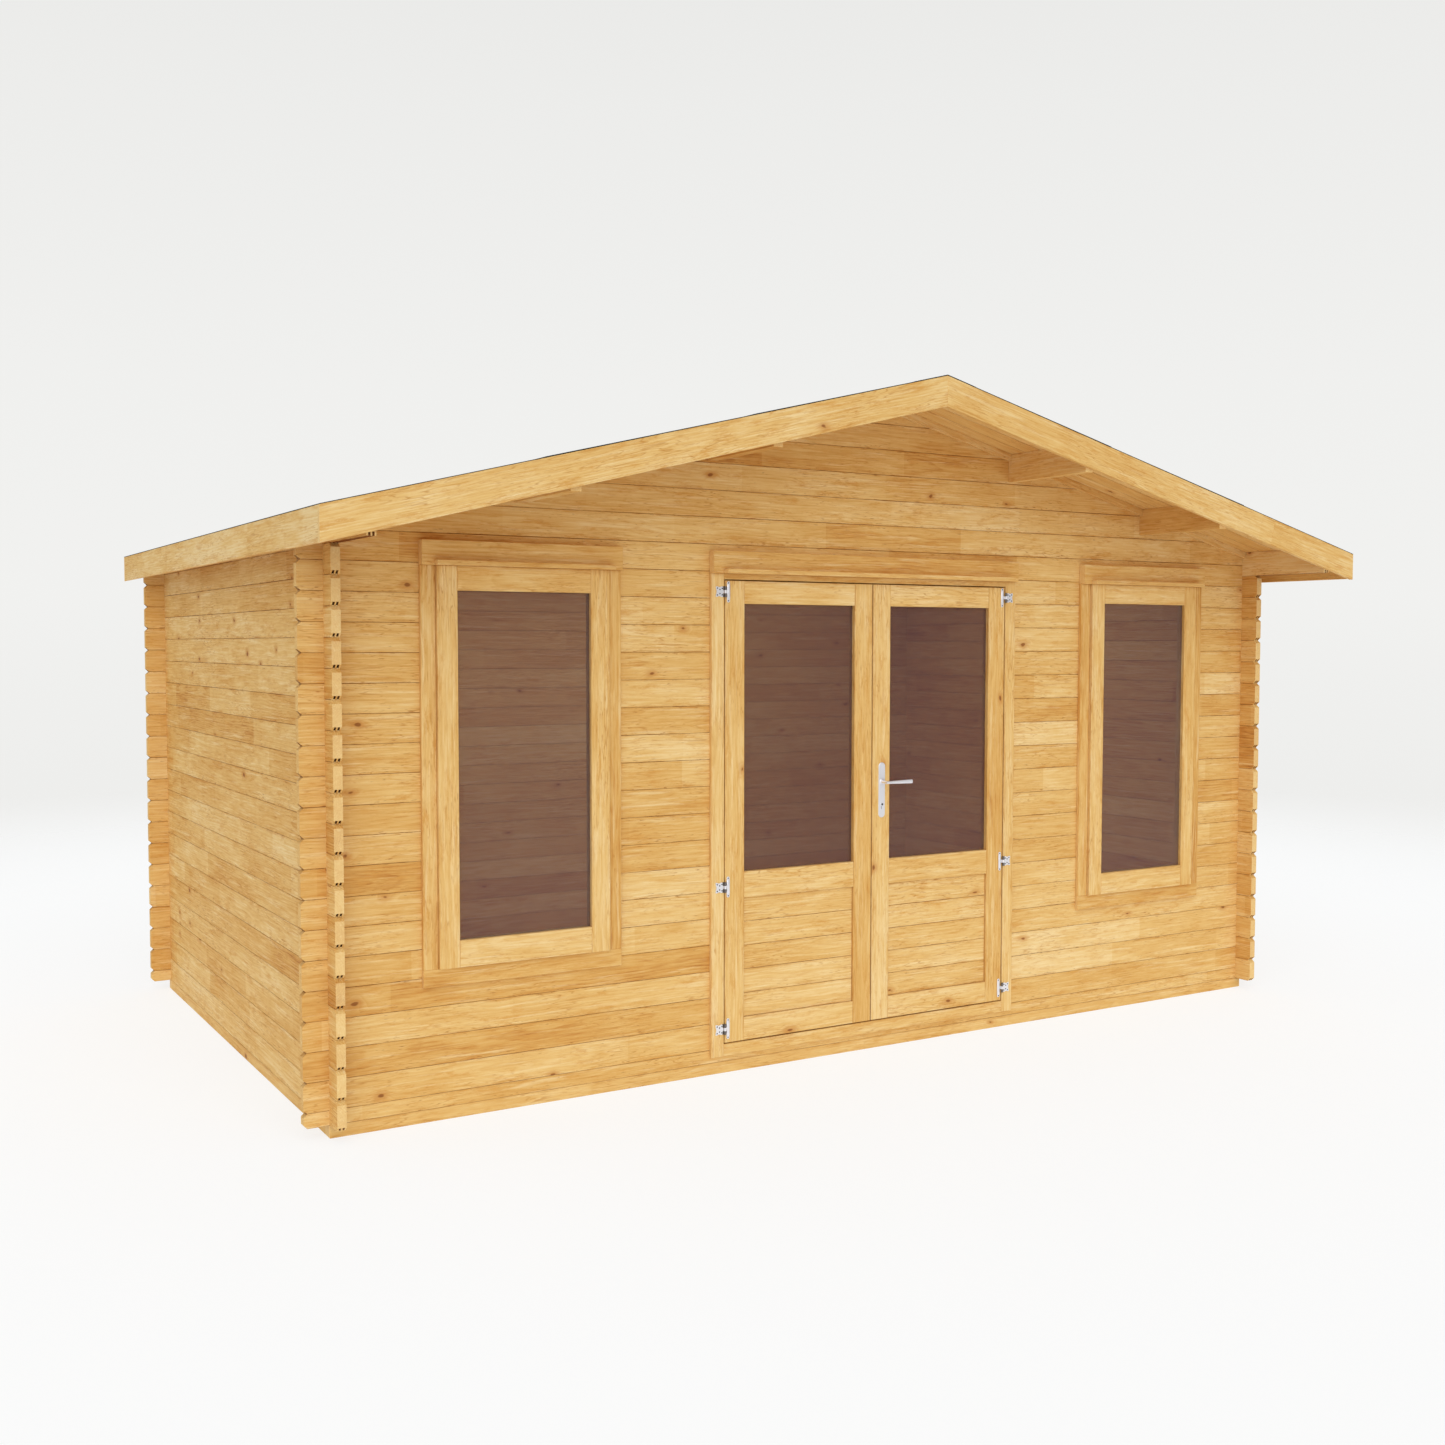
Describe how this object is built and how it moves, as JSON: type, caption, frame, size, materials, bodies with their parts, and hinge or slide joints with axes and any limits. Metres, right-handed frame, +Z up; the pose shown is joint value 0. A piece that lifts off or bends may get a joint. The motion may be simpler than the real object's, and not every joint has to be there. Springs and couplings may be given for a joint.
{
  "type": "log cabin",
  "caption": "Garden log cabin with crossed log corners, an apex roof with a deep front overhang, tall windows and a glazed double door.",
  "frame": {"origin": "on the ground, in the middle of the roof's plan, under the middle joist", "axes": "+X to the right along the front wall, +Y from the door towards the rear wall, +Z up"},
  "size_m": [5.13, 3.492, 2.8735],
  "materials": {
    "log_wood": "planed, clear",
    "trim_wood": "planed, clear",
    "bearer_wood": "planed, clear",
    "roof_wood": "planed, clear",
    "felt": "mineral felt",
    "tinted_glass": "brown tinted",
    "bright_steel": "satin"
  },
  "bodies": {
    "cabin": {"bearers_front_rear": "bearer_wood", "bearers_side_joists": "bearer_wood", "floor": "roof_wood", "roof_boards_left": "roof_wood", "roof_boards_right": "roof_wood", "wall_left": "log_wood", "wall_right": "log_wood", "wall_rear": "log_wood", "eaves_log_left": "log_wood", "eaves_log_right": "log_wood", "front_half_log": "log_wood", "front_low_left": "log_wood", "front_low_right": "log_wood", "front_corner_left": "log_wood", "front_corner_right": "log_wood", "front_pier_left": "log_wood", "front_pier_right": "log_wood", "front_gable": "log_wood", "purlins_left": "log_wood", "purlins_right": "log_wood", "bargeboard_front_left": "trim_wood", "bargeboard_front_right": "trim_wood", "bargeboard_rear_left": "trim_wood", "bargeboard_rear_right": "trim_wood", "fascia_left": "trim_wood", "fascia_right": "trim_wood", "gable_trims": "trim_wood", "window_frame_left": "trim_wood", "window_frame_right": "trim_wood", "window_sash_left": "trim_wood", "window_sash_right": "trim_wood", "door_frame": "trim_wood", "door_trims": "trim_wood", "door_head": "trim_wood", "door_threshold": "trim_wood", "roof_felt": "felt", "window_glass_left": "tinted_glass", "window_glass_right": "tinted_glass", "hinges_frame": "bright_steel"},
    "left_door": {"door_leaf_left": "trim_wood", "door_panel_left": "trim_wood", "door_glass_left": "tinted_glass", "hinge_plates_left": "bright_steel"},
    "right_door": {"door_leaf_right": "trim_wood", "door_panel_right": "trim_wood", "door_glass_right": "tinted_glass", "hinge_plates_right": "bright_steel", "handle_plate": "bright_steel"},
    "lever": {"handle_lever": "bright_steel"}
  },
  "joints": [
    {"name": "left_door_hinge", "type": "hinge", "parent": "cabin", "child": "left_door", "pos_m": [-0.7535, -1.2564, 0], "axis": [0, 0, -1], "range_deg": [0, 160]},
    {"name": "right_door_hinge", "type": "hinge", "parent": "cabin", "child": "right_door", "pos_m": [0.7535, -1.2564, 0], "axis": [0, 0, 1], "range_deg": [0, 160]},
    {"name": "lever_turn", "type": "hinge", "parent": "right_door", "child": "lever", "pos_m": [0.0525, -1.252, 1.182], "axis": [0, 1, 0], "range_deg": [0, 40], "stiffness_Nm_per_rad": 1, "springref_deg": -28.65}
  ]
}
